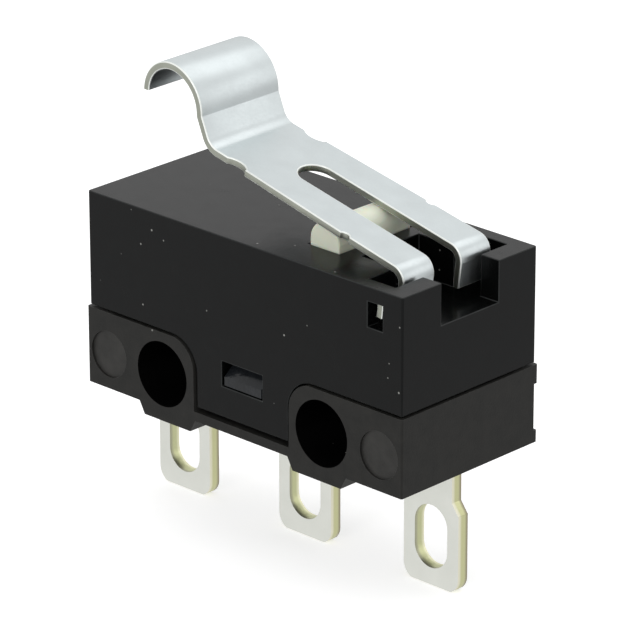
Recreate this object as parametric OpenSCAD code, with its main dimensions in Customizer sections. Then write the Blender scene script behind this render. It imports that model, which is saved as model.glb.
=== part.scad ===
// Ultra-subminiature lever micro switch, 12.8 mm long, with a forked hinge
// lever whose tip is curled like a roller, and three solder terminals.
// Origin: midway between the two mounting holes, at mid-thickness.
// +X runs towards the lever's pivot, Y is the thickness, +Z runs to the lever.

/* [Housing] */
// Length of the body along X
body_l = 12.8; // [12:0.1:16]
// Thickness of the body along Y
body_w = 5.8; // [5.2:0.1:8]
// Height from the base's underside to the top of the cover
body_h = 6.11; // [5.8:0.01:8]
// Height of the base's outer wall, up to the seam
base_h = 2.44; // [2.3:0.02:2.6]
// Height of the step on the base that the cover slips over
plug_h = 0.46; // [0.3:0.02:0.6]
// Open gap at the seam between base and cover
seam_gap = 0.06; // [0.04:0.01:0.15]
// How far the cover's faces stand back from the base's
case_inset = 0.06; // [0.03:0.01:0.12]
// Thickness of the cover's side walls
wall_t = 0.46; // [0.4:0.02:0.6]
// Thickness of the cover's top
top_t = 0.5; // [0.4:0.05:0.7]
// Radius of the body's upright edges
corner_r = 0.06; // [0.04:0.01:0.2]
// Clearance of parts that are pushed together
fit_gap = 0.03; // [0.02:0.01:0.06]

/* [Mounting] */
// Distance between the two mounting holes
hole_pitch = 6.5; // [6.3:0.1:7]
// Diameter of the mounting holes
hole_d = 2.05; // [1.8:0.05:2.2]
// Height of the holes' centres above the base's underside
hole_up = 1.11; // [1.1:0.005:1.2]
// Distance between the two bosses under the base
boss_pitch = 6.11; // [5.9:0.01:6.6]
// Length of a boss at its root
boss_l = 2.35; // [1.8:0.05:2.6]
// Drop of the bosses below the base's underside
boss_h = 0.39; // [0.2:0.01:0.6]
// How much each end of a boss slopes in
boss_slope = 0.215; // [0.1:0.005:0.4]

/* [Snap fit] */
// Width of the cover's tongues
tongue_w = 3.7; // [3:0.05:3.8]
// Height of the tongues' ends above the base's underside
tongue_up = 0.44; // [0.4:0.01:0.8]
// Height of the base's lip below the tongues
lip_h = 0.29; // [0.2:0.01:0.35]
// Gap between a tongue and the base beside it
tongue_gap = 0.095; // [0.05:0.005:0.12]
// Radius of the base's shoulder beside a tongue
tower_r = 0.93; // [0.6:0.01:1.2]
// Length of the latch window in a tongue
latch_l = 1.66; // [1.2:0.02:2]
// Height of the latch window
latch_h = 0.8; // [0.6:0.02:0.9]
// Height of the window's lower edge above the base's underside
latch_up = 1.4; // [1.2:0.02:1.5]
// Clearance of the base's lug in that window, each side
lug_gap = 0.08; // [0.05:0.01:0.12]

/* [Pin marks] */
// Diameter of the round ejector marks
mark_d = 1.48; // [1:0.02:1.6]
// Depth of the ejector marks
mark_depth = 0.08; // [0.03:0.01:0.15]
// Distance between the marks' centres
mark_pitch = 11.01; // [10.5:0.01:11.1]
// Depth of the ejector recess in the rear corner
notch_depth = 0.15; // [0.05:0.01:0.25]
// Length of the ejector recess in the rear corner
notch_l = 1.6; // [1:0.1:1.8]

/* [Pivot pocket] */
// Width of the channel between the lever's arms
channel_w = 2.44; // [2:0.02:2.6]
// Length of the channel from the pivot end
channel_l = 3.17; // [2.9:0.02:3.4]
// Depth of the channel
channel_depth = 1.29; // [1.1:0.01:1.4]
// Floor left under the channel
channel_floor = 0.41; // [0.25:0.01:0.45]
// Width of the cross pocket that takes both arms
cross_w = 4.72; // [4.6:0.02:4.8]
// Length of the cross pocket
cross_l = 1.02; // [0.9:0.01:1.2]
// Thickness of the end wall behind the arms
end_wall_t = 0.77; // [0.6:0.01:0.8]
// Length of a pivot window
pivot_win_l = 0.59; // [0.55:0.01:0.7]
// Height of a pivot window
pivot_win_h = 0.78; // [0.7:0.01:0.85]
// Distance from the pivot down to the middle of its window
pivot_win_drop = 0.125; // [0:0.005:0.13]

/* [Lever] */
// Thickness of the lever's sheet
lever_t = 0.23; // [0.15:0.01:0.25]
// Angle of the lever above the cover at rest
lever_rise = 12.4; // [8:0.1:14]
// Distance of the pivot from the body's pivot end
pivot_in = 1.115; // [1.05:0.005:1.2]
// Distance of the pivot below the cover's top
pivot_down = 0.715; // [0.6:0.005:0.75]
// Height of the lever's upper face over the pivot, square to the sheet
lever_over = 1.02; // [0.95:0.01:1.2]
// Length of the lever from the pivot to the end of its flat
lever_l = 7.83; // [7:0.01:9.5]
// Width of the lever at its curl
lever_tip_w = 3.24; // [2.8:0.02:3.4]
// Width of the lever's middle at its curl end
lever_mid_w = 3.39; // [3.3:0.01:3.5]
// Width of the lever's middle at its pivot end
lever_wide_w = 3.62; // [3.5:0.01:3.7]
// Width over the two arms
lever_arm_w = 3.68; // [3.6:0.02:3.8]
// Width of the slot between the arms
slot_w = 1.12; // [0.8:0.02:1.2]
// Distance from the pivot to the slot's round end
slot_l = 5.86; // [5:0.02:6]
// Lean of the bent-down arms from square
arm_lean = 6; // [0:0.1:8]
// Outer radius of the bend over the pivot
arm_bend_r = 0.5; // [0.4:0.02:0.6]
// Length of the arms below the pivot
arm_drop = 0.225; // [0.2:0.005:0.3]
// Height of the pivot ears
ear_h = 0.45; // [0.3:0.01:0.5]
// Gap between an ear's end and the cover's face
ear_back = 0.2; // [0.1:0.01:0.3]
// Inner radius of the bend at the end of the flat
foot_bend_r = 0.55; // [0.3:0.01:0.9]
// Length of the sloping strip between that bend and the crease
strip_l = 0.58; // [0.2:0.01:1]
// Angle of the crease below the curl
crease_turn = 22; // [10:1:40]
// Inner radius of the crease
crease_r = 0.1; // [0.05:0.01:0.3]
// Outer radius of the curl's rising half
curl_r = 1.35; // [1.1:0.01:1.6]
// Angle that the rising half sweeps
curl_sweep = 79; // [60:1:100]
// Outer radius of the curl's falling half
curl_end_r = 1.11; // [0.9:0.01:1.4]
// Angle that the falling half sweeps
curl_end_sweep = 99; // [60:1:110]
// Depth of the nicks where the lever's width changes
nick_depth = 0.13; // [0.05:0.01:0.2]
// Radius of the nicks
nick_r = 0.68; // [0.3:0.01:0.8]
// Distance of the nicks from the end of the flat
nick_back = 0.835; // [0.7:0.005:1.6]
// Distance from the pivot to the small bites in the arms' outer edges
bite_l = 2.4; // [2:0.05:2.6]
// Radius of those bites
bite_r = 0.2; // [0.15:0.01:0.3]
// Depth of those bites
bite_depth = 0.1; // [0.05:0.01:0.12]

/* [Plunger] */
// Distance of the plunger's middle from the pivot end
plunger_in = 4.34; // [4.1:0.01:4.5]
// Length of the plunger along X
plunger_l = 1.15; // [0.9:0.05:1.2]
// Width of the plunger along Y
plunger_w = 3.0; // [2.4:0.1:3.4]
// Clearance of the plunger in the cover, each side
plunger_gap = 0.05; // [0.03:0.01:0.08]
// Gap between the plunger's crown and the lever
crown_gap = 0.02; // [0.01:0.01:0.05]
// Thickness of the plunger's flange
flange_t = 0.3; // [0.2:0.05:0.4]
// Overhang of the flange on the front, rear and curl side
flange_out = 0.3; // [0.2:0.05:0.4]
// Length of the plunger's foot along X
foot_l = 0.7; // [0.5:0.05:0.9]

/* [Terminals] */
// Distance between terminals
term_pitch = 5.08; // [5:0.02:5.2]
// Thickness of the terminals' sheet
term_t = 0.4; // [0.3:0.05:0.5]
// Width of a terminal's blade
term_w = 2.15; // [1.8:0.05:2.2]
// Width of a terminal's neck
neck_w = 1.62; // [1.4:0.01:1.7]
// Length of a terminal below the base
term_l = 3.98; // [3:0.02:5]
// Distance from the base down to the blade's shoulders
shoulder_l = 1.15; // [1:0.05:1.4]
// Length of the slope at the shoulders
shoulder_slope = 0.35; // [0.1:0.05:0.4]
// Width of the solder hole
eye_w = 1.27; // [0.8:0.01:1.3]
// Length of the solder hole
eye_l = 2.0; // [1.4:0.05:2]
// Metal left between the solder hole and the tip
eye_edge = 0.55; // [0.4:0.01:0.7]
// Radius of the tip's corners
tip_r = 0.5; // [0.3:0.05:0.8]
// How far each tip corner runs in from the side
tip_in = 0.3; // [0.2:0.02:0.4]
// Width of the stems inside the base
stem_w = 1.0; // [0.8:0.02:1.04]

/* [Contacts] */
// Diameter of the moving contact
contact_d = 1.2; // [0.8:0.05:1.3]
// Diameter of the fixed contacts
fixed_d = 0.7; // [0.5:0.05:0.8]
// Thickness of each contact above its sheet
contact_t = 0.25; // [0.15:0.01:0.3]
// Opening between the moving and the normally open contact
contact_gap = 0.35; // [0.2:0.01:0.4]
// Distance of the contacts from the middle of the closed terminal
contact_over = 0.78; // [0.74:0.02:0.9]
// Sideways reach of the folded contact tabs
tab_w = 1.2; // [1:0.05:1.3]
// Diameter of the rivet's shank
shank_d = 0.5; // [0.3:0.05:0.6]
// Thickness of the spring blade
blade_t = 0.1; // [0.06:0.01:0.12]
// Width of the spring blade
blade_w = 2.0; // [1.6:0.1:2.2]
// Width of the tongue cut from the blade
spring_w = 0.7; // [0.5:0.05:0.9]
// Slit on each side of that tongue
slit_w = 0.1; // [0.06:0.02:0.16]

/* [Hidden] */
$fn = 96;
facet_angle = 6;                              // step of a bent sheet's curves

black = "#262628";
steel = "#ced4d6";
cream = "#d9dccb";
silver = "#d2d4cc";
bronze = "#b98a5a";
eps = 0.01;                                   // overshoot of cutting shapes

// Levels
floor_z = -hole_up;                           // base's underside
seam_z = floor_z + base_h;
plug_z = seam_z + plug_h;
top_z = floor_z + body_h;
ceiling_z = top_z - top_t;                    // inside of the cover's top
channel_z = top_z - channel_depth;
under_channel_z = channel_z - channel_floor;

// Plan
end_x = body_l / 2;
side_y = body_w / 2;
case_l = body_l - 2 * case_inset;
case_w = body_w - 2 * case_inset;
room_l = case_l - 2 * wall_t;                 // inside of the cover
room_w = case_w - 2 * wall_t;
recess_y = side_y - case_inset - wall_t - fit_gap;  // base's wall behind a tongue
channel_x = end_x - channel_l;
pocket_x = end_x - end_wall_t;                // inner face of the end wall
pivot_x = end_x - pivot_in;
pivot_z = top_z - pivot_down;
plunger_x = end_x - plunger_in;
partition_x = channel_x - wall_t;             // cover's wall before the channel
contact_x = contact_over - term_pitch;

// Lever, measured in its own flat frame with the pivot at its origin
lever_under = lever_over - lever_t;
// Centre of the plunger's crown: its circle touches the lever's underside
crown_r = plunger_l / 2;
crown_z = pivot_z + (lever_under - crown_r - crown_gap
          + (pivot_x - plunger_x) * sin(lever_rise)) / cos(lever_rise);

// Contact stack, from the base's plug up
open_tab_z = plug_z;
open_face_z = open_tab_z + term_t + contact_t;
moving_low_z = open_face_z + contact_gap;
blade_low_z = moving_low_z + contact_t;
closed_face_z = blade_low_z + blade_t + contact_t;
closed_tab_z = closed_face_z + contact_t;
tab_l = 1.1;                                  // length of a folded contact tab
tab_x = contact_x - 0.5;                      // outer edge of the folded tabs
// The blade's bowed height under the plunger and its height at its anchor
blade_bow = 0.18;
blade_top_z = blade_low_z + blade_bow;
seat_bite = 0.05;                             // how far the blade's end enters its seat
anchor_x = term_pitch - stem_w / 2 + seat_bite;
anchor_z = blade_low_z - 0.25;
anchor_top_z = anchor_z + 0.45;               // top of the stem that holds the blade
post_w = 0.5;                                 // post that the blade's tongue pushes on
post_clear = 0.15;                            // least gap to the middle terminal
post_x = max(plunger_x - 0.68 - post_w, stem_w / 2 + post_clear);
post_top_z = plug_z + 0.8;
tongue_seat_z = post_top_z - 0.25;
seat_l = 0.2;                                 // side of the square cut for a seat
foot_z = blade_top_z + blade_t + crown_gap;   // plunger's foot rests just above
flange_z = ceiling_z - plunger_gap - flange_t;

// Flat plate in the XZ plane, centred on y = 0
module plate_xz(t) {
    rotate([90, 0, 0]) linear_extrude(t, center = true) children();
}

// Rectangle between two X values and two Z values
module span(x0, x1, z0, z1) {
    translate([x0, z0]) square([x1 - x0, z1 - z0]);
}

// Block with upright rounded edges
module rounded_block(l, w, z0, z1, r) {
    translate([0, 0, z0]) linear_extrude(z1 - z0) union() {
        square([l - 2 * r, w], center = true);
        square([l, w - 2 * r], center = true);
        for (x = [-1, 1], y = [-1, 1])
            translate([x * (l / 2 - r), y * (w / 2 - r)]) circle(r);
    }
}

// Outline of a tongue with round shoulders where it leaves the skirt
module tongue_outline(w, z_end, r, z_skirt) {
    span(-w / 2, w / 2, z_end, z_skirt + eps);
    for (s = [-1, 1]) difference() {
        translate([s * (w / 2 + r / 2), z_skirt - r / 2])
            square([r + eps, r + 2 * eps], center = true);
        translate([s * (w / 2 + r), z_skirt - r]) circle(r);
    }
}

// A boss under the base: an extruded trapezium around a mounting hole
module boss(x) {
    translate([x, 0, 0]) plate_xz(body_w) polygon([
        [-boss_l / 2, floor_z + eps], [boss_l / 2, floor_z + eps],
        [boss_l / 2 - boss_slope, floor_z - boss_h],
        [-boss_l / 2 + boss_slope, floor_z - boss_h]]);
}

// The latch lug that fills a tongue's window from behind
module latch_lug() {
    lug_l = latch_l - 2 * lug_gap;
    lug_z = floor_z + latch_up + lug_gap / 2;
    lug_y = side_y - case_inset - lug_gap / 2;
    translate([-lug_l / 2, 0, 0]) rotate([90, 0, 90])
        linear_extrude(lug_l) polygon([
            [-recess_y + eps, lug_z], [-lug_y, lug_z],
            [-lug_y, lug_z + latch_h * 0.34],
            [-recess_y + eps, lug_z + latch_h * 0.8]]);
}

module base() {
    plug_l = room_l - 2 * fit_gap;
    plug_w = room_w - 2 * fit_gap;
    color(black) difference() {
        union() {
            rounded_block(body_l, body_w, floor_z, seam_z, corner_r);
            rounded_block(plug_l, plug_w, seam_z - eps, plug_z, corner_r);
            for (s = [-1, 1]) boss(s * boss_pitch / 2);
        }
        for (s = [-1, 1]) translate([s * hole_pitch / 2, 0, 0])
            rotate([90, 0, 0]) cylinder(body_w + 2, d = hole_d, center = true);
        // recesses for the cover's tongues, front and rear
        for (s = [-1, 1]) translate([0, s * (recess_y + side_y + 1) / 2, 0])
            plate_xz(side_y + 1 - recess_y)
                tongue_outline(tongue_w + 2 * tongue_gap, floor_z + lip_h,
                               tower_r, seam_z + eps);
        // terminal slots
        for (i = [-1:1]) translate([i * term_pitch, 0, 0])
            plate_xz(term_t + 2 * fit_gap) {
                span(-stem_w / 2 - fit_gap, stem_w / 2 + fit_gap,
                     floor_z, plug_z + 1);
                span(-neck_w / 2 - fit_gap, neck_w / 2 + fit_gap,
                     floor_z - 1, floor_z + 0.1 + fit_gap);
            }
        // ejector marks: two in front, one in the rear
        for (s = [-1, 1]) translate([s * mark_pitch / 2, -side_y + mark_depth, 0])
            rotate([90, 0, 0]) cylinder(1, d = mark_d);
        translate([-mark_pitch / 2, side_y - mark_depth + 1, 0])
            rotate([90, 0, 0]) cylinder(1, d = mark_d);
        translate([end_x - notch_l, side_y - notch_depth, -mark_d / 2])
            cube([notch_l + 1, 1, mark_d]);
    }
    color(black) for (a = [0, 180]) rotate([0, 0, a]) latch_lug();
}

module case() {
    tongue_y = side_y - case_inset;
    color(black) difference() {
        union() {
            rounded_block(case_l, case_w, seam_z + seam_gap, top_z, corner_r);
            for (s = [-1, 1])
                translate([0, s * (tongue_y - wall_t / 2), 0]) plate_xz(wall_t)
                    tongue_outline(tongue_w, floor_z + tongue_up,
                        tower_r + tongue_gap, seam_z + seam_gap);
        }
        // room for the mechanism: full height up to the channel, low under it
        translate([-room_l / 2, -room_w / 2, floor_z - 1])
            cube([partition_x + room_l / 2, room_w, ceiling_z - floor_z + 1]);
        translate([-room_l / 2, -room_w / 2, floor_z - 1])
            cube([room_l, room_w, under_channel_z - floor_z + 1]);
        // plunger opening
        translate([plunger_x, 0, top_z])
            cube([plunger_l + 2 * plunger_gap, plunger_w + 2 * plunger_gap,
                  3 * top_t], center = true);
        // channel, open at the pivot end, and the cross pocket for the arms
        translate([channel_x, -channel_w / 2, channel_z])
            cube([channel_l + 1, channel_w, channel_depth + 1]);
        translate([pocket_x - cross_l, -cross_w / 2, channel_z])
            cube([cross_l, cross_w, channel_depth + 1]);
        // pivot windows through both side walls
        translate([pivot_x, 0, pivot_z - pivot_win_drop])
            cube([pivot_win_l, body_w + 1, pivot_win_h], center = true);
        // latch windows through both tongues
        translate([0, 0, floor_z + latch_up + latch_h / 2])
            cube([latch_l, body_w + 1, latch_h], center = true);
    }
}

module plunger() {
    right_x = plunger_l / 2;
    color(cream) translate([plunger_x, 0, 0]) {
        translate([0, 0, (flange_z + crown_z) / 2])
            cube([plunger_l, plunger_w, crown_z - flange_z], center = true);
        translate([0, 0, crown_z]) rotate([90, 0, 0])
            cylinder(plunger_w, r = crown_r, center = true);
        translate([-right_x - flange_out, -plunger_w / 2 - flange_out, flange_z])
            cube([plunger_l + flange_out, plunger_w + 2 * flange_out, flange_t]);
        translate([-foot_l / 2, -blade_w / 2, foot_z])
            cube([foot_l, blade_w, flange_z - foot_z + eps]);
    }
}

// Unit vector to the left of a heading, and a vector turned by an angle
function left_of(heading) = [-sin(heading), cos(heading)];
function turned(v, a) = [v.x * cos(a) - v.y * sin(a), v.x * sin(a) + v.y * cos(a)];

// Points along a bent sheet's edge, a distance to the left of its right face.
// Each step is a straight length, or [radius on the inside of the bend, angle],
// positive to the left. The right face starts at pos and runs on the heading.
function sheet_points(steps, t, left, pos = [0, 0], heading = 90, i = 0) =
    i == len(steps) ? [pos + left * left_of(heading)] :
    is_num(steps[i]) ?
        concat([pos + left * left_of(heading)],
               sheet_points(steps, t, left, pos - steps[i] * left_of(heading + 90),
                            heading, i + 1)) :
        let (r = steps[i][0], angle = steps[i][1],
             n = ceil(abs(angle) / facet_angle),
             centre = pos + (angle > 0 ? t + r : -r) * left_of(heading),
             arm = pos - centre)
        concat([for (k = [0:n - 1])
                   centre + turned(arm + left * left_of(heading), angle * k / n)],
               sheet_points(steps, t, left, centre + turned(arm, angle),
                            heading + angle, i + 1));

// A bent sheet seen on its edge
module bent_sheet(steps, t) {
    right = sheet_points(steps, t, 0);
    left = sheet_points(steps, t, t);
    n = len(left);
    polygon(concat(right, [for (k = [1:n]) left[n - k]]));
}

// The lever's bent section, in its own frame with the pivot at the origin
module lever_section() {
    turn = 90 - arm_lean;
    upright = 90 - lever_rise;
    tangent = arm_bend_r * tan(turn / 2);
    straight = arm_drop - tangent
               + (lever_over - lever_t / 2 * sin(arm_lean)) / cos(arm_lean);
    flat_l = lever_l - tangent - lever_over * tan(arm_lean)
             + lever_t / 2 / cos(arm_lean);
    rotate(arm_lean)
        translate([lever_t / 2, -arm_drop])
            bent_sheet([straight, [arm_bend_r - lever_t, turn], flat_l,
                        [foot_bend_r, crease_turn - upright], strip_l,
                        [crease_r, -crease_turn],
                        [curl_r - lever_t, curl_sweep],
                        [curl_end_r - lever_t, curl_end_sweep]], lever_t);
}

// The lever's flat outline, seen from above, with the pivot at the origin
module lever_outline() {
    nick_x = -lever_l + nick_back;
    ramp = 0.3;                               // length of the taper at the nicks
    curl_x = -lever_l - 3 * curl_r;           // past the curl's far side
    tip = lever_tip_w / 2;
    mid = lever_mid_w / 2;
    wide = lever_wide_w / 2;
    arm = lever_arm_w / 2;
    difference() {
        polygon([
            [curl_x, -tip], [nick_x - ramp / 2, -tip],
            [nick_x + ramp / 2, -mid], [-bite_l, -wide], [0, -arm], [1, -arm],
            [1, arm], [0, arm], [-bite_l, wide], [nick_x + ramp / 2, mid],
            [nick_x - ramp / 2, tip], [curl_x, tip]]);
        for (s = [-1, 1]) {
            translate([nick_x, s * (tip + nick_r - nick_depth)]) circle(nick_r);
            translate([-bite_l, s * (wide + bite_r - bite_depth)]) circle(bite_r);
        }
        translate([-slot_l + slot_w / 2, 0]) circle(d = slot_w);
        translate([-slot_l + slot_w / 2, -slot_w / 2])
            square([slot_l + 2, slot_w]);
    }
}

module lever() {
    ear_w = case_w - 2 * ear_back;
    color(steel) translate([pivot_x, 0, pivot_z]) rotate([0, lever_rise, 0])
        difference() {
            union() {
                intersection() {
                    plate_xz(body_w) lever_section();
                    translate([0, 0, -1]) linear_extrude(8) lever_outline();
                }
                // pivot ears, in line with the arms' lower ends
                rotate([0, -arm_lean, 0])
                    translate([-lever_t / 2 + eps, -ear_w / 2, -arm_drop + eps])
                        cube([lever_t - 2 * eps, ear_w, ear_h - 2 * eps]);
            }
            translate([-1, -slot_w / 2, -1]) cube([2, slot_w, 1.6]);
        }
}

// Solder blade, neck and stem of a terminal, up to a height
module terminal_outline(stem_top) {
    blade_z = floor_z - shoulder_l;
    tip_z = floor_z - term_l;
    corner_z = sqrt(pow(tip_r, 2) - pow(tip_r - tip_in, 2));
    difference() {
        union() {
            span(-term_w / 2, term_w / 2, tip_z, blade_z - shoulder_slope);
            polygon([[-term_w / 2, blade_z - shoulder_slope - eps],
                     [term_w / 2, blade_z - shoulder_slope - eps],
                     [neck_w / 2, blade_z], [-neck_w / 2, blade_z]]);
            span(-neck_w / 2, neck_w / 2, blade_z - eps, floor_z + 0.1);
            span(-stem_w / 2, stem_w / 2, floor_z, stem_top);
        }
        // elongated solder hole
        for (z = [tip_z + eye_edge + eye_w / 2,
                  tip_z + eye_edge + eye_l - eye_w / 2])
            translate([0, z]) circle(d = eye_w);
        span(-eye_w / 2, eye_w / 2, tip_z + eye_edge + eye_w / 2,
             tip_z + eye_edge + eye_l - eye_w / 2);
        // rounded corners at the tip
        for (s = [-1, 1]) difference() {
            translate([s * (term_w / 2 - tip_r / 2 + 0.5), tip_z + corner_z / 2 - 0.5])
                square([tip_r + 1, corner_z + 1], center = true);
            translate([s * (term_w / 2 - tip_r), tip_z + corner_z]) circle(tip_r);
            span(-term_w / 2 + tip_in, term_w / 2 - tip_in, tip_z - 1, tip_z + 1);
        }
    }
}

// Contact tab, folded back from the terminal's plane
module folded_tab(z) {
    translate([tab_x, -term_t / 2, z]) cube([tab_l, tab_w, term_t]);
}

module common_terminal() {
    color(silver) plate_xz(term_t) difference() {
        union() {
            translate([term_pitch, 0]) terminal_outline(anchor_top_z);
            span(post_x, term_pitch, plug_z, plug_z + term_t);
            span(post_x, post_x + post_w, plug_z, post_top_z);
        }
        // seats for the blade's end and for its tongue
        translate([term_pitch - stem_w / 2, anchor_z + blade_t / 2])
            rotate(45) square(1.2 * seat_l, center = true);
        translate([post_x, tongue_seat_z])
            rotate(45) square(seat_l, center = true);
    }
}

module normally_open_terminal() {
    color(silver) {
        plate_xz(term_t) {
            terminal_outline(plug_z + term_t);
            span(tab_x, 0, plug_z, plug_z + term_t);
        }
        folded_tab(open_tab_z);
    }
}

module normally_closed_terminal() {
    color(silver) {
        plate_xz(term_t) {
            translate([-term_pitch, 0]) terminal_outline(plug_z);
            span(-term_pitch - stem_w / 2, -term_pitch,
                 plug_z - eps, closed_tab_z + term_t);
            span(-term_pitch - stem_w / 2, tab_x + tab_l,
                 closed_tab_z, closed_tab_z + term_t);
        }
        folded_tab(closed_tab_z);
    }
}

// A round contact on a folded tab
module fixed_contact(z) {
    color(silver) translate([contact_x, (fixed_d - term_t) / 2 + 0.1, z])
        cylinder(contact_t, d = fixed_d);
}

module normally_open_contact() {
    fixed_contact(open_tab_z + term_t);
}

module normally_closed_contact() {
    fixed_contact(closed_face_z);
}

// Double-headed rivet through the blade's end
module moving_contact() {
    color(silver) translate([contact_x, 0, 0]) {
        translate([0, 0, moving_low_z]) cylinder(contact_t, d = contact_d);
        translate([0, 0, blade_low_z + blade_t]) cylinder(contact_t, d = contact_d);
        translate([0, 0, blade_low_z - eps])
            cylinder(blade_t + 2 * eps, d = shank_d);
    }
}

// Spring blade: flat at the contact, bowed up under the plunger
module moving_blade() {
    flat_x = contact_x + 1;
    tip_x = contact_x - 0.75;
    root_x = contact_x + 2.2;                 // where the tongue leaves the blade
    slot_x = plunger_x - 0.45;
    seat_x = post_x + seat_bite + 0.02;       // end of the tongue, in its seat
    tail = 0.4;                               // flat part of the tongue at its root
    root_z = blade_low_z + blade_bow * (root_x - flat_x) / (plunger_x - flat_x);
    color(bronze) {
        difference() {
            plate_xz(blade_w) polygon([
                [tip_x, blade_low_z], [flat_x, blade_low_z],
                [plunger_x, blade_top_z], [anchor_x, anchor_z],
                [anchor_x, anchor_z + blade_t],
                [plunger_x, blade_top_z + blade_t],
                [flat_x, blade_low_z + blade_t], [tip_x, blade_low_z + blade_t]]);
            translate([contact_x, 0, 0])
                cylinder(20, d = shank_d + 0.02, center = true);
            translate([root_x, -spring_w / 2 - slit_w, -10])
                cube([slot_x - root_x, spring_w + 2 * slit_w, 20]);
        }
        // bowed tongue that drives the snap
        plate_xz(spring_w) polygon([
            [root_x - 5 * eps, root_z], [root_x + tail, root_z],
            [seat_x, tongue_seat_z - blade_t / 2],
            [seat_x, tongue_seat_z + blade_t / 2],
            [root_x + tail, root_z + blade_t],
            [root_x - 5 * eps, root_z + blade_t]]);
    }
}

base();
case();
plunger();
lever();
common_terminal();
normally_open_terminal();
normally_closed_terminal();
normally_open_contact();
normally_closed_contact();
moving_contact();
moving_blade();
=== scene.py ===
# %% [markdown]
# # A lever micro switch
# The real object is a snap-action switch only 12.8 mm long. A black glass-filled
# polyester base carries three terminals, a black cover snaps over it, and a forked
# lever of stainless sheet hinges in the cover and presses a cream plunger.
# The CAD frame already holds every piece at its true size. This script rounds the
# edges as moulding and stamping leave them, gives each surface its finish, and
# lights the switch for a product picture.

# %% Load the frame
import math

import bmesh
import bpy
from mathutils import Matrix, Vector


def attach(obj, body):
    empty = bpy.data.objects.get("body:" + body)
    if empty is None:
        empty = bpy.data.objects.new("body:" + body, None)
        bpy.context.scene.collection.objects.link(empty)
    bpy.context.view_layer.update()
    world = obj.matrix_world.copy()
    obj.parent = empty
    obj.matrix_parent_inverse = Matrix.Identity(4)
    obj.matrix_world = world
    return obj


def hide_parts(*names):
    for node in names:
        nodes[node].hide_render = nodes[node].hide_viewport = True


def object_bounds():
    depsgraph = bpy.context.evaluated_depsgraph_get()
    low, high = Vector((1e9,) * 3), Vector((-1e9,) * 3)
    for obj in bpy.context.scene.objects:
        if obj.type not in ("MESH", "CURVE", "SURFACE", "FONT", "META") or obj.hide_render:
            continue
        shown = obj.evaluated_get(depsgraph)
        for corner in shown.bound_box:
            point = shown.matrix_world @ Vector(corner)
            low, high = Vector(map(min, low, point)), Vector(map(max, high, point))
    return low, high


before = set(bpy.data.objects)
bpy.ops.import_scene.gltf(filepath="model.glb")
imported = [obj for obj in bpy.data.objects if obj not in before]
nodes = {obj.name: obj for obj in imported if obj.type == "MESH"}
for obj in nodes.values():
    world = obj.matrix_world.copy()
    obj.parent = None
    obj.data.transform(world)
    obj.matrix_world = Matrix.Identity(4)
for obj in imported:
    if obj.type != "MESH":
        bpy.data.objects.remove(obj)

cad_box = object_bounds()
mm = 0.001
print("nodes:", sorted(nodes))
print("CAD box in mm:", [[round(c / mm, 3) for c in corner] for corner in cad_box])

# %% [markdown]
# ## Camera
# A small product is shown through a long lens from well back, so that its edges
# stay nearly parallel. The camera looks down from the front right corner. Its place
# and its turn, height and roll in degrees were found by lining up the switch's
# corners, so they are written as they came out.

# %% Camera
camera_place = Vector((91.178, -94.958, 54.594)) * mm
view_turn = 43.699
view_height = 21.861
view_roll = -0.081


def camera_axes(turn, height, roll):
    """Right, up and back axes of a camera, as the columns of a rotation."""
    a, e, r = (math.radians(v) for v in (turn, height, roll))
    back = Vector((math.sin(a) * math.cos(e), -math.cos(a) * math.cos(e), math.sin(e)))
    right = Vector((0, 0, 1)).cross(back).normalized()
    up = back.cross(right)
    rolled = (math.cos(r) * right + math.sin(r) * up, math.cos(r) * up - math.sin(r) * right)
    return Matrix((*rolled, back)).transposed()


camera = bpy.data.objects.new("camera", bpy.data.cameras.new("camera"))
bpy.context.scene.collection.objects.link(camera)
camera.matrix_world = (
    Matrix.Translation(camera_place)
    @ camera_axes(view_turn, view_height, view_roll).to_4x4()
)
camera.data.lens = 271.45
camera.data.sensor_width = 36
camera.data.clip_start = 1 * mm
camera.data.clip_end = 10
bpy.context.scene.camera = camera
print("camera stands", round(camera_place.length / mm, 1), "mm from the origin")

# %% [markdown]
# ## Helpers
# Blender works in metres, but a switch is easier to think about in millimetres. Each
# mesh is therefore shaped in millimetres and scaled down when it is finished, with
# its place kept in the mesh and the object left at the origin.
#
# Small faces that belong to a curve are shaded smooth. Faces over a square
# millimetre, and faces that look straight along Y, are flat sides of the real
# pieces. Shading them flat keeps the cuts across them from showing as stains. That
# is set after the sharp edges are found, because finding them resets it.

# %% Finish a mesh
smooth_below = 35
straight = 0.9999


def finish_piece(bm, name, body, materials, replaced):
    """Turns a bmesh in millimetres into a piece that rides on a body."""
    bmesh.ops.scale(bm, vec=(mm, mm, mm), verts=bm.verts)
    mesh = bpy.data.meshes.new(name)
    bm.to_mesh(mesh)
    bm.free()
    mesh.set_sharp_from_angle(angle=math.radians(smooth_below))
    for face in mesh.polygons:
        face.use_smooth = face.area < mm ** 2 and abs(face.normal.y) < straight
    for material in materials:
        mesh.materials.append(material)
    piece = bpy.data.objects.new(name, mesh)
    bpy.context.scene.collection.objects.link(piece)
    shading = piece.modifiers.new("even shading", "WEIGHTED_NORMAL")
    shading.keep_sharp = True
    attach(piece, body)
    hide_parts(replaced)
    print(name, "has", len(mesh.polygons), "faces")


# %% [markdown]
# The CAD's meshes are exact but have knife-sharp edges, and real edges always catch
# a line of light. A copy of a CAD node is merged and its flat faces are joined, and
# then the bevel operator rounds every edge sharper than 30 degrees.

# %% Copy a CAD node with rounded edges
rounded_above = 30
joined_below = 0.5
merged_within = 0.0005


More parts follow.
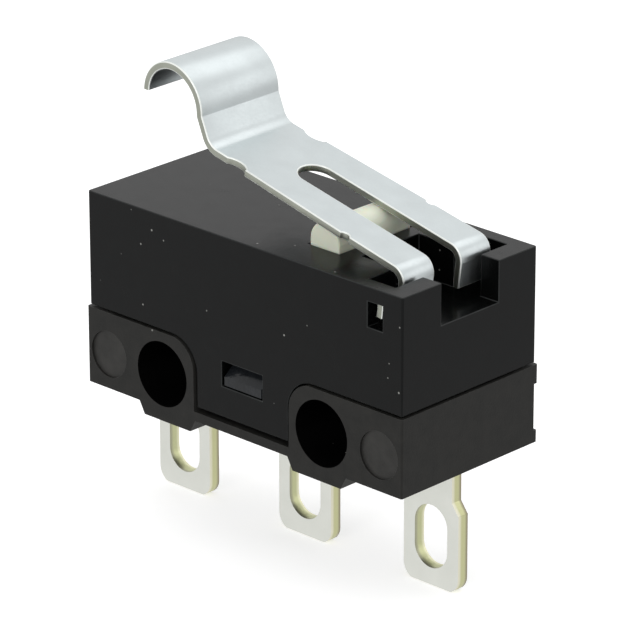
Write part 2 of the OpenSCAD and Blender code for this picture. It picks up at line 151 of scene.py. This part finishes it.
def rounded_copy(node, radius, edge_index=0):
    """A CAD node as a bmesh in millimetres, with its sharp edges rounded.

    The rounded edges' faces take the material of the given index.
    """
    bm = bmesh.new()
    bm.from_mesh(nodes[node].data)
    bmesh.ops.scale(bm, vec=(1 / mm,) * 3, verts=bm.verts)
    bmesh.ops.remove_doubles(bm, verts=bm.verts, dist=merged_within)
    bmesh.ops.dissolve_limit(
        bm, angle_limit=math.radians(joined_below), verts=bm.verts, edges=bm.edges
    )
    sharp = [e for e in bm.edges if e.calc_face_angle(0) > math.radians(rounded_above)]
    rounded = bmesh.ops.bevel(
        bm, geom=sharp, offset=radius, offset_type="OFFSET", segments=2,
        profile=0.5, affect="EDGES", material=-1, clamp_overlap=True,
    )
    for face in rounded["faces"]:
        face.material_index = edge_index
    return bm


# %% [markdown]
# ## Materials
# Colours are written as the hex values that a paint or print chart gives, and one
# function turns them into the linear values that shaders use.

# %% Colour
def linear(hex_colour):
    """An sRGB hex colour as linear red, green, blue and alpha."""
    channels = [int(hex_colour[i:i + 2], 16) / 255 for i in (1, 3, 5)]
    curve = [c / 12.92 if c <= 0.04045 else ((c + 0.055) / 1.055) ** 2.4 for c in channels]
    return (*curve, 1)


# %% [markdown]
# A material is a tree of nodes, so one small function adds a node and fills its
# sockets, and the rest of the helpers are the nodes that every finish here needs:
# a noise whose lumps have a size in millimetres, a change of range, a blend of two
# colours and a bump whose height is in millimetres. All patterns are laid out on
# the object's own coordinates, which the pieces share because they all stand at the
# origin, so a pattern keeps its size on every piece.

# %% Node helpers
def add_node(tree, kind, inputs=None, **settings):
    """Adds a shader node; inputs gives its sockets a value or another node's output.

    A socket is called by its name, or by its number where several share a name.
    """
    made = tree.nodes.new(kind)
    for key, value in settings.items():
        setattr(made, key, value)
    for key, value in (inputs or {}).items():
        if isinstance(value, bpy.types.NodeSocket):
            tree.links.new(value, made.inputs[key])
        else:
            made.inputs[key].default_value = value
    return made


def new_material(name, **shader):
    """A material whose shader has these settings. Returns it, its tree and the shader."""
    material = bpy.data.materials.new(name)
    material.use_nodes = True
    tree = material.node_tree
    principled = tree.nodes["Principled BSDF"]
    for key, value in shader.items():
        principled.inputs[key.replace("_", " ")].default_value = value
    return material, tree, principled


def place(tree):
    """The object coordinates, in metres."""
    return add_node(tree, "ShaderNodeTexCoord").outputs["Object"]


def per_mm(size):
    """The scale of a pattern whose features are about this many millimetres wide."""
    return 1 / (size * mm)


def noise(tree, at, size, **inputs):
    """A noise with lumps about this many millimetres wide, from 0 to 1."""
    sockets = {"Vector": at, "Scale": per_mm(size), **inputs}
    return add_node(tree, "ShaderNodeTexNoise", sockets).outputs["Fac"]


def remap(tree, value, from_range, to_range):
    """A value moved from one range to another, and held inside it."""
    low, high = from_range
    start, end = to_range
    sockets = {"Value": value, 1: low, 2: high, 3: start, 4: end}
    return add_node(tree, "ShaderNodeMapRange", sockets).outputs[0]


def blend(tree, factor, first, second):
    """Two colours mixed: the first at factor 0 and the second at factor 1."""
    sockets = {"Factor": factor, 6: first, 7: second}
    return add_node(tree, "ShaderNodeMix", sockets, data_type="RGBA").outputs[2]


def arithmetic(tree, operation, first, second):
    """One sum done on two values."""
    return add_node(
        tree, "ShaderNodeMath", {0: first, 1: second}, operation=operation
    ).outputs[0]


def add_bump(tree, shader, height, depth, strength=1.0):
    """Gives a shader a relief this many millimetres deep."""
    bump = add_node(
        tree, "ShaderNodeBump",
        {"Height": height, "Distance": depth * mm, "Strength": strength},
    )
    tree.links.new(bump.outputs[0], shader.inputs["Normal"])


# %% [markdown]
# ### Dust
# Static draws dust to moulded plastic, and on black it shows. A Voronoi texture cuts
# space into cells with one middle each. A speck is the small ball round a middle,
# and the cell's random colour decides whether it is kept: one cell in five is.

# %% Dust on black plastic
dust_spacing = 0.45
dust_fade = (0.05, 0.09)
dust_free_share = 0.8


def add_dust(tree, at, shader):
    """Scatters a few pale specks, each in its own cell, over a finished base colour."""
    cell = add_node(tree, "ShaderNodeTexVoronoi", {"Vector": at, "Scale": per_mm(dust_spacing)})
    speck = remap(tree, cell.outputs["Distance"], dust_fade, (1.0, 0.0))
    number = add_node(tree, "ShaderNodeSeparateColor", {0: cell.outputs["Color"]})
    chosen = arithmetic(tree, "GREATER_THAN", number.outputs[0], dust_free_share)
    mask = arithmetic(tree, "MULTIPLY", speck, chosen)
    under = shader.inputs["Base Color"].links[0].from_socket
    dusty = blend(tree, mask, under, linear("#8E8E8A"))
    tree.links.new(dusty, shader.inputs["Base Color"])


# %% [markdown]
# ### Moulded polyester
# Base and cover are polyester filled with glass fibre. The mould's spark-eroded
# skin gives the base a fine grain, and fibres near the surface leave it slightly
# mottled. Moulded black plastic is darkest where it is seen square on and turns
# pale where it is seen at a low angle, as the cover's top is. A low shine keeps the
# sides dark and still lets that happen.

# %% Black polyester
def moulded_polyester(name, colour, mottle, roughness, grain, depth, shine=0.14):
    """Black moulded plastic: grain is its texture's width and depth its height, in mm."""
    material, tree, shader = new_material(name, IOR=1.5, Specular_IOR_Level=shine)
    at = place(tree)
    cloud = noise(tree, at, 0.5, Detail=6, Roughness=0.65)
    tint = blend(tree, cloud, linear(colour), linear(mottle))
    tree.links.new(tint, shader.inputs["Base Color"])
    gloss = remap(tree, cloud, (0.3, 0.7), (roughness - 0.06, roughness + 0.06))
    tree.links.new(gloss, shader.inputs["Roughness"])
    add_dust(tree, at, shader)
    add_bump(tree, shader, noise(tree, at, grain, Detail=3), depth)
    return material


base_plastic = moulded_polyester(
    "polyester_base", "#151615", "#2E2D2B", roughness=0.42, grain=0.06, depth=0.004
)
# The base's rounded edges are painted paler: a painted highlight.
base_rim_painted_highlight = moulded_polyester(
    "polyester_base_rim_painted_highlight", "#343433", "#5E5D5B", roughness=0.35, grain=0.06, depth=0.002
)
pin_mark = moulded_polyester(
    "polyester_pin_mark", "#222221", "#403F3D", roughness=0.42, grain=0.06, depth=0.004
)
# The lugs are glossy plastic, and their pale bluish mottle is partly painted sheen.
lug_plastic_and_painted_sheen = moulded_polyester(
    "polyester_lug_and_painted_sheen", "#0C0D0E", "#23262A", roughness=0.18, grain=0.12, depth=0.01,
    shine=0.3,
)
# The bores are painted near black: painted shade in the deep holes.
bore_painted_shade = moulded_polyester(
    "polyester_bore_painted_shade", "#030303", "#060606", roughness=0.5, grain=0.06, depth=0.002,
    shine=0.03,
)
cover_plastic = moulded_polyester(
    "polyester_cover", "#060707", "#0C0D0D", roughness=0.22, grain=0.09, depth=0.002
)
# The cover's rounded edges are painted paler: a painted highlight.
cover_rim_painted_highlight = moulded_polyester(
    "polyester_cover_rim_painted_highlight", "#1B1C1C", "#343636", roughness=0.3, grain=0.09, depth=0.002
)
print("seven finishes of black polyester")

# %% [markdown]
# ### Acetal plunger
# The plunger is moulded in a natural cream plastic that light enters a little, so
# its edges look soft. Subsurface scattering over a fifth of a millimetre does that.

# %% Cream acetal
cream_plastic, tree, shader = new_material(
    "acetal_plunger", Base_Color=linear("#E9EDDA"), Roughness=0.4, IOR=1.48,
    Subsurface_Weight=0.25, Subsurface_Scale=0.2 * mm,
)
speckle = noise(tree, place(tree), 0.12, Detail=4)
add_bump(tree, shader, speckle, 0.004, strength=0.6)

# %% [markdown]
# ### Sheet metals
# The lever is cold-rolled stainless spring steel and the terminals are brass sheet
# with silver plating. Both were blanked in a press: the faces keep the rolled skin,
# with a fine satin grain, and the cut edges are rougher.

# %% Rolled metal
def add_satin(tree, at, shader, roughness, grain, depth):
    """Gives a metal a fine grain that changes its gloss and its relief together."""
    satin = noise(tree, at, grain, Detail=4)
    gloss = remap(tree, satin, (0.3, 0.7), (roughness - 0.05, roughness + 0.07))
    tree.links.new(gloss, shader.inputs["Roughness"])
    add_bump(tree, shader, satin, depth)


def rolled_metal(name, colour, shade, roughness, depth=0.0012):
    """A sheet's face: faint cloudiness between two colours under a satin grain."""
    material, tree, shader = new_material(name, Metallic=1.0)
    at = place(tree)
    cloud = noise(tree, at, 0.8, Detail=5)
    tree.links.new(
        blend(tree, cloud, linear(colour), linear(shade)), shader.inputs["Base Color"]
    )
    add_satin(tree, at, shader, roughness, 0.07, depth)
    return material


lever_steel = rolled_metal("stainless_rolled", "#D2D9DA", "#C3C9CA", roughness=0.36)
lever_edge = rolled_metal("stainless_sheared", "#B3B6AA", "#92958B", roughness=0.4, depth=0.004)
# The near-white colour on the lever's rounded corners is a painted highlight.
lever_burr_painted_highlight = rolled_metal("stainless_burr_painted_highlight", "#F8FAF8", "#E2E6E1", roughness=0.5)
silver_plate = rolled_metal("silver_plated_brass", "#ECEDE6", "#DDDFD7", roughness=0.36)
contact_silver = rolled_metal("silver_alloy", "#DADCDC", "#C8CACA", roughness=0.3)
spring_copper = rolled_metal("beryllium_copper", "#C08A5E", "#A8754E", roughness=0.3)
print("six finishes of sheet metal")

# %% [markdown]
# The terminals were plated before they were cut, so their edges show bare brass. A
# punch burnishes the first part of the cut and tears the rest, and the colour
# changes through the sheet; its pale front and dark back are partly that and partly
# painted highlight and painted shade. The pieces stand at the origin with the
# sheet's middle at Y = 0, so the colour can be read from Y: two blends, one after
# the other, lead from the front's colour to the middle's and from there to the back's.

# %% Sheared brass
term_t = 0.4
first_change = (-0.7, -0.3)
second_change = (0.35, 0.9)


def sheared_brass(name, front, middle, back):
    """A cut edge whose colour changes through the sheet, from its front to its back, partly as
    painted highlight and painted shade.
    """
    material, tree, shader = new_material(name, Metallic=1.0)
    at = place(tree)
    through = add_node(tree, "ShaderNodeSeparateXYZ", {"Vector": at}).outputs["Y"]
    colour = linear(front)
    for change, next_colour in ((first_change, middle), (second_change, back)):
        depths = [share * term_t / 2 * mm for share in change]
        step = remap(tree, through, depths, (0.0, 1.0))
        colour = blend(tree, step, colour, linear(next_colour))
    tree.links.new(colour, shader.inputs["Base Color"])
    add_satin(tree, at, shader, 0.38, 0.07, 0.004)
    return material


# The outer cut edges go from pale to dark, partly burnish and tear, partly painted highlight
# and shade.
brass_edge_and_painted_light = sheared_brass("brass_sheared_and_painted_light", "#E9E6D0", "#CDCDA0", "#958C78")
# The eye walls are darker at the front and pale at the back: painted shade and painted
# highlight.
eye_wall_painted_light = sheared_brass("brass_hole_wall_painted_light", "#B4B49C", "#C9CBA0", "#F1EFD2")
print("two finishes of cut brass")

# %% [markdown]
# ## Base
# The base is one moulding, so its edges are rounded by a few hundredths of a
# millimetre, and they are painted paler, a painted highlight for the bright room
# they mirror. Some of its faces have a skin of their own, and they are told apart by
# where they lie: the shallow round marks that the mould's ejector pins leave, the two
# smooth lugs that the cover latches over, whose pale bluish mottle is partly painted
# sheen, and the bores of the mounting holes, painted near black as painted shade in
# the deep holes.

# %% Base
mark_from_x = 4.7
mark_floor_y = 2.82
lug_reach = 0.76
lug_from_y = 2.36
lug_low_z, lug_high_z = 0.3, 1.2
hole_x, hole_r = 3.25, 1.025
close_by = 0.01

# Index 1 takes the paler colour of the painted highlight on the rounded edges.
bm = rounded_copy("base", 0.045, edge_index=1)
for face in bm.faces:
    middle = face.calc_center_median()
    x, y, z = abs(middle.x), abs(middle.y), middle.z
    if x > mark_from_x and abs(y - mark_floor_y) < close_by:
        face.material_index = 2
    # The lugs take the glossy plastic with its partly painted sheen.
    if x < lug_reach and y > lug_from_y and lug_low_z < z < lug_high_z:
        face.material_index = 3
    # The bores' faces take the near-black painted shade.
    if abs(math.hypot(x - hole_x, z) - hole_r) < close_by:
        face.material_index = 4
finish_piece(
    bm, "base_moulding", "housing",
    [base_plastic, base_rim_painted_highlight, pin_mark, lug_plastic_and_painted_sheen, bore_painted_shade], "base",
)

# %% [markdown]
# ## Cover
# The cover comes from a smoother mould than the base, with crisper edges, and its rounded edges
# are painted paler as a painted highlight.

# %% Cover
finish_piece(
    rounded_copy("case", 0.035, edge_index=1), "cover_moulding", "housing",
    [cover_plastic, cover_rim_painted_highlight], "case",
)

# %% [markdown]
# ## Plunger
# The plunger slides with the lever, so it rides on a body of its own.

# %% Plunger
finish_piece(
    rounded_copy("plunger", 0.04), "plunger_moulding", "plunger",
    [cream_plastic], "plunger",
)

# %% [markdown]
# ## Lever
# The real lever starts as a flat blank. A press cuts its outline, with two arms, two
# ears and a round-ended slot, and then bends it at four places. The mesh is made the
# same way. A pen draws half the outline: it extrudes its last vertex along straight
# lines and spins it round the arcs. The outline is filled, given its thickness and
# mirrored, and only then bent, so its edges stay true along every curve.

# %% Pen that draws an outline
def pen_start(bm, x, y):
    """Puts the pen down. Returns the vertex under it."""
    return bmesh.ops.create_vert(bm, co=(x, y, 0))["vert"][0]


def pen_line(bm, pen, x, y):
    """Draws a straight line. Returns the vertex at its end."""
    made = bmesh.ops.extrude_vert_indiv(bm, verts=[pen])["verts"][0]
    made.co = (x, y, 0)
    return made


def pen_arc(bm, pen, centre, degrees, steps):
    """Draws an arc round a centre. Returns the vertex at its end."""
    spun = bmesh.ops.spin(
        bm, geom=[pen], cent=(*centre, 0), axis=(0, 0, 1),
        angle=math.radians(degrees), steps=steps,
    )
    return [v for v in spun["geom_last"] if isinstance(v, bmesh.types.BMVert)][0]


# %% [markdown]
# Seen from the side, the sheet leans down past the pivot, bends over it, runs flat
# along the arms, turns up at the foot, creases, and rolls into the curl in two steps.
# A bend is given by the radius of its middle layer, which bending neither stretches
# nor squeezes, so each run has a true length for the blank and an angle it turns by.

# %% The lever's sizes
sheet_t = 0.23
half_t = sheet_t / 2
pivot = Vector((5.285, 4.285))
lever_rise = 12.4
lever_over = 1.02
lever_length = 7.83

arm_lean = 6
arm_drop = 0.225
arm_bend_r = 0.27
arm_turn = 90 - arm_lean

crease_r, crease_turn = 0.1, 22
foot_bend_r = 0.55
foot_turn = 90 - lever_rise - crease_turn
strip_length = 0.58
curl_r, curl_sweep = 1.35, 79
curl_end_r, curl_end_sweep = 1.11, 99


def bend(middle_r, turn):
    """A run that turns: its length along the middle layer and its angle."""
    return middle_r * math.radians(abs(turn)), turn


lean = math.radians(arm_lean)
arm_tangent = (arm_bend_r + sheet_t) * math.tan(math.radians(arm_turn / 2))
arm_straight = (
    arm_drop - arm_tangent + (lever_over - half_t * math.sin(lean)) / math.cos(lean)
)
flat_length = (
    lever_length - arm_tangent - lever_over * math.tan(lean) + half_t / math.cos(lean)
)
runs = [
    (arm_straight, 0),
    bend(arm_bend_r + half_t, arm_turn),
    (flat_length, 0),
    bend(foot_bend_r + half_t, -foot_turn),
    (strip_length, 0),
    bend(crease_r + half_t, -crease_turn),
    bend(curl_r - half_t, curl_sweep),
    bend(curl_end_r - half_t, curl_end_sweep),
]
blank_length = sum(length for length, turn in runs)
print("the lever's blank is", round(blank_length, 2), "mm long")

# %% [markdown]
# One function follows the runs like a tortoise: after any length along the sheet it
# knows where the middle layer is and which way it heads.

# %% Walk along the sheet
def walk(runs, along, spot, heading):
    """The spot and heading after a length of the path, at the sheet's middle."""
    for length, turn in runs:
        part = min(along, length)
        if turn:
            radius = length / math.radians(turn)
            start = math.radians(heading)
            heading = heading + turn * part / length
            end = math.radians(heading)
            spot = spot + radius * Vector(
                (math.sin(end) - math.sin(start), math.cos(start) - math.cos(end))
            )
        else:
            angle = math.radians(heading)
            spot = spot + part * Vector((math.cos(angle), math.sin(angle)))
        along -= part
        if along <= 0:
            break
    return spot, heading


# %% [markdown]
# The outline is drawn flat, with X running along the sheet from the arms' lower
# ends. Its distances from the pivot are known in the lever's own frame, so one
# function turns such a distance into a length along the sheet.
#
# The half outline goes round the ear, along the arm with its small bite, past the
# round nick where the sheet narrows to the tip, and back round the slot's end.

# %% Draw the blank
slot_far, slot_r = 5.86, 0.56
ear_reach, ear_height = 2.64, 0.45
arm_y, wide_y, mid_y, tip_y = 1.84, 1.81, 1.695, 1.62
bite_back, bite_r, bite_depth = 2.4, 0.2, 0.1
nick_back, nick_r, nick_depth = 0.835, 0.68, 0.13
ramp_half = 0.42
nick_steps, slot_steps = 10, 12

flat_start = arm_straight + (arm_bend_r + half_t) * math.radians(arm_turn)
unturned = Vector((arm_drop * math.sin(lean), -arm_drop * math.cos(lean)))
bend_end = walk(runs[:2], flat_start, unturned, 90 + arm_lean)[0].x


def from_pivot(distance):
    """The length along the sheet of a point on the flat, given its distance back."""
    return flat_start + bend_end + distance


def draw_nick(bm, pen, along, edge_y, radius, depth):
    """Draws up to a round nick in the outline's edge and through it."""
    centre = (along, edge_y + radius - depth)
    reach = math.sqrt(radius ** 2 - (radius - depth) ** 2)
    pen = pen_line(bm, pen, along - reach, edge_y)
    sweep = 2 * math.degrees(math.asin(reach / radius))
    return pen_arc(bm, pen, centre, sweep, nick_steps)


slot_middle = from_pivot(slot_far - slot_r)
nick_at = from_pivot(lever_length - nick_back)
bm = bmesh.new()
pen = pen_start(bm, 0, slot_r)
pen = pen_line(bm, pen, 0, ear_reach)
pen = pen_line(bm, pen, ear_height, ear_reach)
pen = pen_line(bm, pen, ear_height, arm_y)
pen = pen_line(bm, pen, from_pivot(0), arm_y)
pen = draw_nick(bm, pen, from_pivot(bite_back), wide_y, bite_r, bite_depth)
pen = pen_line(bm, pen, nick_at - ramp_half, mid_y)
pen = draw_nick(bm, pen, nick_at, tip_y, nick_r, nick_depth)
pen = pen_line(bm, pen, blank_length, tip_y)
pen = pen_line(bm, pen, blank_length, 0)
pen = pen_line(bm, pen, slot_middle + slot_r, 0)
pen = pen_arc(bm, pen, (slot_middle, 0), 90, slot_steps)
pen_line(bm, pen, 0, slot_r)
bmesh.ops.remove_doubles(bm, verts=bm.verts, dist=0.001)
outline = bmesh.ops.contextual_create(bm, geom=bm.edges[:])["faces"]
print("half the blank has", len(bm.verts), "corners")

# %% [markdown]
# The press rolls one corner of the cut over and leaves a burr on the other, so both
# catch the light. They get a wide bevel and a near-white colour, which is a painted
# highlight, and the band between them stays rough. The edges along the middle are
# left sharp and their faces are removed, because the mirrored half joins on there.

# %% Give it thickness and bright corners
corner_r = 0.035
at_middle = 0.001
upright_below, flat_above = 0.2, 0.98

bmesh.ops.translate(bm, vec=(0, 0, -half_t), verts=bm.verts)
grown = bmesh.ops.extrude_face_region(bm, geom=outline)["geom"]
bmesh.ops.translate(
    bm, vec=(0, 0, sheet_t), verts=[v for v in grown if isinstance(v, bmesh.types.BMVert)]
)
bmesh.ops.recalc_face_normals(bm, faces=bm.faces)
rim = [
    e for e in bm.edges
    if abs(e.verts[0].co.z - e.verts[1].co.z) < at_middle
    and max(v.co.y for v in e.verts) > at_middle
]
bmesh.ops.bevel(
    bm, geom=rim, offset=corner_r, offset_type="OFFSET", segments=3, profile=0.5,
    affect="EDGES", material=-1, clamp_overlap=True,
)
for face in bm.faces:
    upright = abs(face.normal.z) < upright_below
    flat = abs(face.normal.z) > flat_above
    # Faces between the flats and the sides are the rounded corners, with the painted highlight.
    face.material_index = 1 if upright else (0 if flat else 2)
cut_faces = [f for f in bm.faces if abs(f.calc_center_median().y) < at_middle / 2]
bmesh.ops.delete(bm, geom=cut_faces, context="FACES")
bmesh.ops.mirror(bm, geom=bm.verts[:] + bm.edges[:] + bm.faces[:], axis="Y", merge_dist=0.002)
print("the whole blank has", len(bm.faces), "faces")

# %% [markdown]
# Bending moves vertices, so a bend needs cuts across the sheet, one every three
# degrees. The bisect operator makes each cut right through the blank. Then every
# vertex walks its own length along the sheet and steps off the middle layer by its
# height, square to the way the sheet heads there.

# %% Bend the blank
cut_every = 3

run_start = 0
for length, turn in runs:
    cuts = max(1, round(abs(turn) / cut_every))
    for cut in range(cuts):
        bmesh.ops.bisect_plane(
            bm, geom=bm.verts[:] + bm.edges[:] + bm.faces[:], dist=0.0001,
            plane_co=(run_start + length * cut / cuts, 0, 0), plane_no=(1, 0, 0),
        )
    run_start += length

first_heading = 90 + arm_lean - lever_rise
angle = math.radians(first_heading)
low_end = pivot - arm_drop * Vector((math.cos(angle), math.sin(angle)))
for vert in bm.verts:
    spot, heading = walk(runs, vert.co.x, low_end, first_heading)
    left = math.radians(heading + 90)
    spot += vert.co.z * Vector((math.cos(left), math.sin(left)))
    vert.co = (spot.x, vert.co.y, spot.y)
bmesh.ops.recalc_face_normals(bm, faces=bm.faces)
finish_piece(
    bm, "lever_sheet", "lever",
    [lever_steel, lever_edge, lever_burr_painted_highlight], "lever",
)

# %% [markdown]
# ## Terminals
# Each terminal is cut from plated strip. Its faces look along Y and stay plated, and
# every other face is a cut edge. The walls of the solder eye are coloured the other
# way round, darker at the front and pale at the back, as painted shade and painted
# highlight inside the eye, so they have a material of their own.

# %% Terminals
eye_w, eye_edge = 1.27, 0.55
eye_margin = 0.03

for name in ("common", "normally_open", "normally_closed"):
    bm = rounded_copy(name + "_terminal", 0.03)
    tip_z = min(v.co.z for v in bm.verts)
    tip = [v.co.x for v in bm.verts if v.co.z < tip_z + close_by]
    tip_x = (min(tip) + max(tip)) / 2
    for face in bm.faces:
        middle = face.calc_center_median()
        if abs(face.normal.y) < 0.5:
            beside_eye = abs(middle.x - tip_x) > eye_w / 2 + eye_margin
            under_eye = middle.z < tip_z + eye_edge - eye_margin
            # Index 2 is the eye wall with its painted shade and highlight.
            face.material_index = 1 if beside_eye or under_eye else 2
    finish_piece(
        bm, name + "_terminal_sheet", "housing",
        [silver_plate, brass_edge_and_painted_light, eye_wall_painted_light], name + "_terminal",
    )

# %% [markdown]
# ## Inner pieces
# The contacts and the spring blade are hidden by the cover. They keep the CAD's
# meshes and only get their metals.

# %% Inner pieces
inner_metals = {
    "normally_open_contact": contact_silver,
    "normally_closed_contact": contact_silver,
    "moving_contact": contact_silver,
    "moving_blade": spring_copper,
}
for name, metal in inner_metals.items():
    nodes[name].data.materials.clear()
    nodes[name].data.materials.append(metal)
print(len(inner_metals), "inner pieces have their metals")

# %% [markdown]
# ## Stage and light
# The switch stands on white paper that lies just under the terminals. The camera
# sees the paper lifted to white, and it keeps the soft shadow. Reflections see a
# paper that glows by itself and fades from front to back. The black sides mirror it,
# so it sets how dark they look.

# %% Floor
floor_gap = 0.02
floor_half = 600
fade_from, fade_to = -0.05, 0.05

floor_z = cad_box[0].z - floor_gap * mm
bm = bmesh.new()
bmesh.ops.create_grid(bm, x_segments=1, y_segments=1, size=floor_half * mm)
bmesh.ops.translate(bm, vec=(0, 0, floor_z), verts=bm.verts)
floor_mesh = bpy.data.meshes.new("floor")
bm.to_mesh(floor_mesh)
bm.free()
floor = bpy.data.objects.new("floor", floor_mesh)
bpy.context.scene.collection.objects.link(floor)

paper, tree, shader = new_material(
    "white_paper", Base_Color=(0.8, 0.8, 0.8, 1), Roughness=0.9, Specular_IOR_Level=0.0,
    Emission_Color=(1, 1, 1, 1),
)
ray = add_node(tree, "ShaderNodeLightPath")
lift = arithmetic(tree, "MULTIPLY", ray.outputs["Is Camera Ray"], 0.5)
tree.links.new(lift, shader.inputs["Emission Strength"])
towards_back = add_node(tree, "ShaderNodeSeparateXYZ", {"Vector": place(tree)}).outputs["Y"]
glow = add_node(
    tree, "ShaderNodeEmission",
    {"Color": (1, 1, 1, 1),
     "Strength": remap(tree, towards_back, (fade_from, fade_to), (1.0, 0.74))},
)
paper_mix = add_node(
    tree, "ShaderNodeMixShader",
    {0: ray.outputs["Is Glossy Ray"], 1: shader.outputs[0], 2: glow.outputs[0]},
)
tree.links.new(paper_mix.outputs[0], tree.nodes["Material Output"].inputs["Surface"])
floor_mesh.materials.append(paper)
print("the paper lies", floor_gap, "mm under the terminals")

# %% [markdown]
# The studio's walls are a little dimmer near the floor than overhead, and that soft
# gradient is what the curved metal shows as bands. Only reflections see it: other
# light comes evenly from all sides, and the camera sees pure white.

# %% World
low_wall, high_wall = 0.75, 0.99
even_light = 0.88

world = bpy.data.worlds.new("studio")
bpy.context.scene.world = world
world.use_nodes = True
tree = world.node_tree
background = tree.nodes["Background"]
ray = add_node(tree, "ShaderNodeLightPath")
direction = add_node(
    tree, "ShaderNodeSeparateXYZ",
    {"Vector": add_node(tree, "ShaderNodeTexCoord").outputs["Generated"]},
)
wall = remap(tree, direction.outputs["Z"], (-0.2, 0.3), (low_wall, high_wall))
reflected = add_node(
    tree, "ShaderNodeMix",
    {"Factor": ray.outputs["Is Glossy Ray"], 2: even_light, 3: wall},
)
white = arithmetic(
    tree, "MAXIMUM", ray.outputs["Is Camera Ray"], ray.outputs["Is Transmission Ray"]
)
strength = add_node(
    tree, "ShaderNodeMix", {"Factor": white, 2: reflected.outputs[0], 3: 1.0}
)
tree.links.new(strength.outputs[0], background.inputs["Strength"])
background.inputs["Color"].default_value = (1, 1, 1, 1)
print("reflections see walls from", low_wall, "to", high_wall)

# %% [markdown]
# Three square lamps do the rest: a weak one above and behind for the cover's top, a
# stronger one in front for the sides, and a low, weak one at the right rear. They
# are close and weak because the object is small.

# %% Lamps
def soft_lamp(name, towards, distance, watts, size=100):
    """A square area lamp that looks at the switch; distance and size are in mm."""
    lamp = bpy.data.objects.new(name, bpy.data.lights.new(name, "AREA"))
    lamp.data.size = size * mm
    lamp.data.energy = watts
    outwards = Vector(towards).normalized()
    lamp.location = outwards * distance * mm
    lamp.rotation_mode = "QUATERNION"
    lamp.rotation_quaternion = (-outwards).to_track_quat("-Z", "Y")
    bpy.context.scene.collection.objects.link(lamp)


soft_lamp("top_lamp", (0.05, 0.55, 0.83), 150, 0.02)
soft_lamp("front_lamp", (0.2, -1, 0.35), 250, 0.1)
soft_lamp("rear_lamp", (0.62, 0.66, 0.25), 200, 0.016)
print("three lamps")

# %% [markdown]
# ## Picture settings
# The Standard view keeps each colour as it was written, with no film curve over it.

# %% Picture settings
bpy.context.scene.view_settings.view_transform = "Standard"
